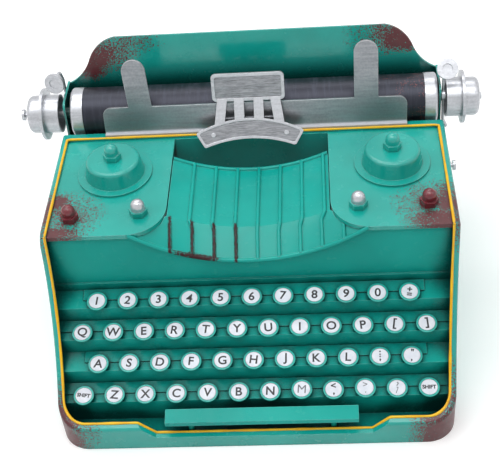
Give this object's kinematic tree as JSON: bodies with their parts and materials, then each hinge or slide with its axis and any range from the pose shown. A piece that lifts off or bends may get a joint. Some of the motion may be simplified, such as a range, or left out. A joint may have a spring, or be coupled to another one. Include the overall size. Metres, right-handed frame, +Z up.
{
  "type": "typewriter",
  "caption": "Small sheet-metal model typewriter with round pressing keys on stepped rows, a space bar, a type basket, spool covers, and a sliding carriage with a turning platen.",
  "frame": {"origin": "on the surface the typewriter stands on, under the middle of its body", "axes": "+X to the typist's right, +Y towards the back, +Z up"},
  "size_m": [0.2524, 0.18, 0.1411],
  "materials": {
    "teal": "gloss",
    "silver": "brushed",
    "black": "satin",
    "key": "gloss",
    "spring": "brushed"
  },
  "bodies": {
    "body": {"body_shell": "teal", "deck_plate": "teal", "keyboard_steps": "teal", "type_basket": "teal", "spool_covers": "teal", "fasteners": "silver", "type_guide": "silver", "paper_plate": "silver", "key_return_combs": "spring"},
    "carriage": {"carriage_frame": "teal"},
    "platen": {"platen": "black", "platen_knobs": "silver"},
    "left_lever": {"left_lever": "silver"},
    "right_lever": {"right_lever": "silver"},
    "space_bar": {"space_bar": "teal"},
    "shift_keys": {"shift_keys": "key"},
    "key_1": {"key_1": "key"},
    "key_2": {"key_2": "key"},
    "key_3": {"key_3": "key"},
    "key_4": {"key_4": "key"},
    "key_5": {"key_5": "key"},
    "key_6": {"key_6": "key"},
    "key_7": {"key_7": "key"},
    "key_8": {"key_8": "key"},
    "key_9": {"key_9": "key"},
    "key_0": {"key_0": "key"},
    "key_plus": {"key_plus": "key"},
    "key_q": {"key_q": "key"},
    "key_w": {"key_w": "key"},
    "key_e": {"key_e": "key"},
    "key_r": {"key_r": "key"},
    "key_t": {"key_t": "key"},
    "key_y": {"key_y": "key"},
    "key_u": {"key_u": "key"},
    "key_i": {"key_i": "key"},
    "key_o": {"key_o": "key"},
    "key_p": {"key_p": "key"},
    "key_left_bracket": {"key_left_bracket": "key"},
    "key_right_bracket": {"key_right_bracket": "key"},
    "key_a": {"key_a": "key"},
    "key_s": {"key_s": "key"},
    "key_d": {"key_d": "key"},
    "key_f": {"key_f": "key"},
    "key_g": {"key_g": "key"},
    "key_h": {"key_h": "key"},
    "key_j": {"key_j": "key"},
    "key_k": {"key_k": "key"},
    "key_l": {"key_l": "key"},
    "key_colon": {"key_colon": "key"},
    "key_quote": {"key_quote": "key"},
    "key_z": {"key_z": "key"},
    "key_x": {"key_x": "key"},
    "key_c": {"key_c": "key"},
    "key_v": {"key_v": "key"},
    "key_b": {"key_b": "key"},
    "key_n": {"key_n": "key"},
    "key_m": {"key_m": "key"},
    "key_comma": {"key_comma": "key"},
    "key_period": {"key_period": "key"},
    "key_question": {"key_question": "key"}
  },
  "joints": [
    {"name": "platen_spin", "type": "hinge", "parent": "carriage", "child": "platen", "pos_m": [0, 0.066, 0.0978], "axis": [1, 0, 0], "continuous": true},
    {"name": "carriage_slide", "type": "slide", "parent": "body", "child": "carriage", "axis": [1, 0, 0], "range_m": [-0.025, 0.025]},
    {"name": "left_lever_swing", "type": "hinge", "parent": "carriage", "child": "left_lever", "pos_m": [-0.104, 0.078, 0.1018], "axis": [1, 0, 0], "range_deg": [-12, 12]},
    {"name": "right_lever_swing", "type": "hinge", "parent": "carriage", "child": "right_lever", "pos_m": [0.104, 0.0626, 0.102], "axis": [1, 0, 0], "range_deg": [-12, 12]},
    {"name": "space_bar_press", "type": "slide", "parent": "body", "child": "space_bar", "axis": [0, 0, -1], "range_m": [0, 0.0025], "stiffness_N_per_m": 250, "springref_m": -0.003, "deforming": ["key_return_combs"]},
    {"name": "shift_press", "type": "slide", "parent": "body", "child": "shift_keys", "axis": [0, 0.2588, -0.9659], "range_m": [0, 0.0012], "stiffness_N_per_m": 200, "springref_m": -0.003, "deforming": ["key_return_combs"]},
    {"name": "key_1_press", "type": "slide", "parent": "body", "child": "key_1", "axis": [0, 0.2588, -0.9659], "range_m": [0, 0.0012], "stiffness_N_per_m": 100, "springref_m": -0.003, "deforming": ["key_return_combs"]},
    {"name": "key_2_press", "type": "slide", "parent": "body", "child": "key_2", "axis": [0, 0.2588, -0.9659], "range_m": [0, 0.0012], "stiffness_N_per_m": 100, "springref_m": -0.003, "deforming": ["key_return_combs"]},
    {"name": "key_3_press", "type": "slide", "parent": "body", "child": "key_3", "axis": [0, 0.2588, -0.9659], "range_m": [0, 0.0012], "stiffness_N_per_m": 100, "springref_m": -0.003, "deforming": ["key_return_combs"]},
    {"name": "key_4_press", "type": "slide", "parent": "body", "child": "key_4", "axis": [0, 0.2588, -0.9659], "range_m": [0, 0.0012], "stiffness_N_per_m": 100, "springref_m": -0.003, "deforming": ["key_return_combs"]},
    {"name": "key_5_press", "type": "slide", "parent": "body", "child": "key_5", "axis": [0, 0.2588, -0.9659], "range_m": [0, 0.0012], "stiffness_N_per_m": 100, "springref_m": -0.003, "deforming": ["key_return_combs"]},
    {"name": "key_6_press", "type": "slide", "parent": "body", "child": "key_6", "axis": [0, 0.2588, -0.9659], "range_m": [0, 0.0012], "stiffness_N_per_m": 100, "springref_m": -0.003, "deforming": ["key_return_combs"]},
    {"name": "key_7_press", "type": "slide", "parent": "body", "child": "key_7", "axis": [0, 0.2588, -0.9659], "range_m": [0, 0.0012], "stiffness_N_per_m": 100, "springref_m": -0.003, "deforming": ["key_return_combs"]},
    {"name": "key_8_press", "type": "slide", "parent": "body", "child": "key_8", "axis": [0, 0.2588, -0.9659], "range_m": [0, 0.0012], "stiffness_N_per_m": 100, "springref_m": -0.003, "deforming": ["key_return_combs"]},
    {"name": "key_9_press", "type": "slide", "parent": "body", "child": "key_9", "axis": [0, 0.2588, -0.9659], "range_m": [0, 0.0012], "stiffness_N_per_m": 100, "springref_m": -0.003, "deforming": ["key_return_combs"]},
    {"name": "key_0_press", "type": "slide", "parent": "body", "child": "key_0", "axis": [0, 0.2588, -0.9659], "range_m": [0, 0.0012], "stiffness_N_per_m": 100, "springref_m": -0.003, "deforming": ["key_return_combs"]},
    {"name": "key_plus_press", "type": "slide", "parent": "body", "child": "key_plus", "axis": [0, 0.2588, -0.9659], "range_m": [0, 0.0012], "stiffness_N_per_m": 100, "springref_m": -0.003, "deforming": ["key_return_combs"]},
    {"name": "key_q_press", "type": "slide", "parent": "body", "child": "key_q", "axis": [0, 0.2588, -0.9659], "range_m": [0, 0.0012], "stiffness_N_per_m": 100, "springref_m": -0.003, "deforming": ["key_return_combs"]},
    {"name": "key_w_press", "type": "slide", "parent": "body", "child": "key_w", "axis": [0, 0.2588, -0.9659], "range_m": [0, 0.0012], "stiffness_N_per_m": 100, "springref_m": -0.003, "deforming": ["key_return_combs"]},
    {"name": "key_e_press", "type": "slide", "parent": "body", "child": "key_e", "axis": [0, 0.2588, -0.9659], "range_m": [0, 0.0012], "stiffness_N_per_m": 100, "springref_m": -0.003, "deforming": ["key_return_combs"]},
    {"name": "key_r_press", "type": "slide", "parent": "body", "child": "key_r", "axis": [0, 0.2588, -0.9659], "range_m": [0, 0.0012], "stiffness_N_per_m": 100, "springref_m": -0.003, "deforming": ["key_return_combs"]},
    {"name": "key_t_press", "type": "slide", "parent": "body", "child": "key_t", "axis": [0, 0.2588, -0.9659], "range_m": [0, 0.0012], "stiffness_N_per_m": 100, "springref_m": -0.003, "deforming": ["key_return_combs"]},
    {"name": "key_y_press", "type": "slide", "parent": "body", "child": "key_y", "axis": [0, 0.2588, -0.9659], "range_m": [0, 0.0012], "stiffness_N_per_m": 100, "springref_m": -0.003, "deforming": ["key_return_combs"]},
    {"name": "key_u_press", "type": "slide", "parent": "body", "child": "key_u", "axis": [0, 0.2588, -0.9659], "range_m": [0, 0.0012], "stiffness_N_per_m": 100, "springref_m": -0.003, "deforming": ["key_return_combs"]},
    {"name": "key_i_press", "type": "slide", "parent": "body", "child": "key_i", "axis": [0, 0.2588, -0.9659], "range_m": [0, 0.0012], "stiffness_N_per_m": 100, "springref_m": -0.003, "deforming": ["key_return_combs"]},
    {"name": "key_o_press", "type": "slide", "parent": "body", "child": "key_o", "axis": [0, 0.2588, -0.9659], "range_m": [0, 0.0012], "stiffness_N_per_m": 100, "springref_m": -0.003, "deforming": ["key_return_combs"]},
    {"name": "key_p_press", "type": "slide", "parent": "body", "child": "key_p", "axis": [0, 0.2588, -0.9659], "range_m": [0, 0.0012], "stiffness_N_per_m": 100, "springref_m": -0.003, "deforming": ["key_return_combs"]},
    {"name": "key_left_bracket_press", "type": "slide", "parent": "body", "child": "key_left_bracket", "axis": [0, 0.2588, -0.9659], "range_m": [0, 0.0012], "stiffness_N_per_m": 100, "springref_m": -0.003, "deforming": ["key_return_combs"]},
    {"name": "key_right_bracket_press", "type": "slide", "parent": "body", "child": "key_right_bracket", "axis": [0, 0.2588, -0.9659], "range_m": [0, 0.0012], "stiffness_N_per_m": 100, "springref_m": -0.003, "deforming": ["key_return_combs"]},
    {"name": "key_a_press", "type": "slide", "parent": "body", "child": "key_a", "axis": [0, 0.2588, -0.9659], "range_m": [0, 0.0012], "stiffness_N_per_m": 100, "springref_m": -0.003, "deforming": ["key_return_combs"]},
    {"name": "key_s_press", "type": "slide", "parent": "body", "child": "key_s", "axis": [0, 0.2588, -0.9659], "range_m": [0, 0.0012], "stiffness_N_per_m": 100, "springref_m": -0.003, "deforming": ["key_return_combs"]},
    {"name": "key_d_press", "type": "slide", "parent": "body", "child": "key_d", "axis": [0, 0.2588, -0.9659], "range_m": [0, 0.0012], "stiffness_N_per_m": 100, "springref_m": -0.003, "deforming": ["key_return_combs"]},
    {"name": "key_f_press", "type": "slide", "parent": "body", "child": "key_f", "axis": [0, 0.2588, -0.9659], "range_m": [0, 0.0012], "stiffness_N_per_m": 100, "springref_m": -0.003, "deforming": ["key_return_combs"]},
    {"name": "key_g_press", "type": "slide", "parent": "body", "child": "key_g", "axis": [0, 0.2588, -0.9659], "range_m": [0, 0.0012], "stiffness_N_per_m": 100, "springref_m": -0.003, "deforming": ["key_return_combs"]},
    {"name": "key_h_press", "type": "slide", "parent": "body", "child": "key_h", "axis": [0, 0.2588, -0.9659], "range_m": [0, 0.0012], "stiffness_N_per_m": 100, "springref_m": -0.003, "deforming": ["key_return_combs"]},
    {"name": "key_j_press", "type": "slide", "parent": "body", "child": "key_j", "axis": [0, 0.2588, -0.9659], "range_m": [0, 0.0012], "stiffness_N_per_m": 100, "springref_m": -0.003, "deforming": ["key_return_combs"]},
    {"name": "key_k_press", "type": "slide", "parent": "body", "child": "key_k", "axis": [0, 0.2588, -0.9659], "range_m": [0, 0.0012], "stiffness_N_per_m": 100, "springref_m": -0.003, "deforming": ["key_return_combs"]},
    {"name": "key_l_press", "type": "slide", "parent": "body", "child": "key_l", "axis": [0, 0.2588, -0.9659], "range_m": [0, 0.0012], "stiffness_N_per_m": 100, "springref_m": -0.003, "deforming": ["key_return_combs"]},
    {"name": "key_colon_press", "type": "slide", "parent": "body", "child": "key_colon", "axis": [0, 0.2588, -0.9659], "range_m": [0, 0.0012], "stiffness_N_per_m": 100, "springref_m": -0.003, "deforming": ["key_return_combs"]},
    {"name": "key_quote_press", "type": "slide", "parent": "body", "child": "key_quote", "axis": [0, 0.2588, -0.9659], "range_m": [0, 0.0012], "stiffness_N_per_m": 100, "springref_m": -0.003, "deforming": ["key_return_combs"]},
    {"name": "key_z_press", "type": "slide", "parent": "body", "child": "key_z", "axis": [0, 0.2588, -0.9659], "range_m": [0, 0.0012], "stiffness_N_per_m": 100, "springref_m": -0.003, "deforming": ["key_return_combs"]},
    {"name": "key_x_press", "type": "slide", "parent": "body", "child": "key_x", "axis": [0, 0.2588, -0.9659], "range_m": [0, 0.0012], "stiffness_N_per_m": 100, "springref_m": -0.003, "deforming": ["key_return_combs"]},
    {"name": "key_c_press", "type": "slide", "parent": "body", "child": "key_c", "axis": [0, 0.2588, -0.9659], "range_m": [0, 0.0012], "stiffness_N_per_m": 100, "springref_m": -0.003, "deforming": ["key_return_combs"]},
    {"name": "key_v_press", "type": "slide", "parent": "body", "child": "key_v", "axis": [0, 0.2588, -0.9659], "range_m": [0, 0.0012], "stiffness_N_per_m": 100, "springref_m": -0.003, "deforming": ["key_return_combs"]},
    {"name": "key_b_press", "type": "slide", "parent": "body", "child": "key_b", "axis": [0, 0.2588, -0.9659], "range_m": [0, 0.0012], "stiffness_N_per_m": 100, "springref_m": -0.003, "deforming": ["key_return_combs"]},
    {"name": "key_n_press", "type": "slide", "parent": "body", "child": "key_n", "axis": [0, 0.2588, -0.9659], "range_m": [0, 0.0012], "stiffness_N_per_m": 100, "springref_m": -0.003, "deforming": ["key_return_combs"]},
    {"name": "key_m_press", "type": "slide", "parent": "body", "child": "key_m", "axis": [0, 0.2588, -0.9659], "range_m": [0, 0.0012], "stiffness_N_per_m": 100, "springref_m": -0.003, "deforming": ["key_return_combs"]},
    {"name": "key_comma_press", "type": "slide", "parent": "body", "child": "key_comma", "axis": [0, 0.2588, -0.9659], "range_m": [0, 0.0012], "stiffness_N_per_m": 100, "springref_m": -0.003, "deforming": ["key_return_combs"]},
    {"name": "key_period_press", "type": "slide", "parent": "body", "child": "key_period", "axis": [0, 0.2588, -0.9659], "range_m": [0, 0.0012], "stiffness_N_per_m": 100, "springref_m": -0.003, "deforming": ["key_return_combs"]},
    {"name": "key_question_press", "type": "slide", "parent": "body", "child": "key_question", "axis": [0, 0.2588, -0.9659], "range_m": [0, 0.0012], "stiffness_N_per_m": 100, "springref_m": -0.003, "deforming": ["key_return_combs"]}
  ]
}
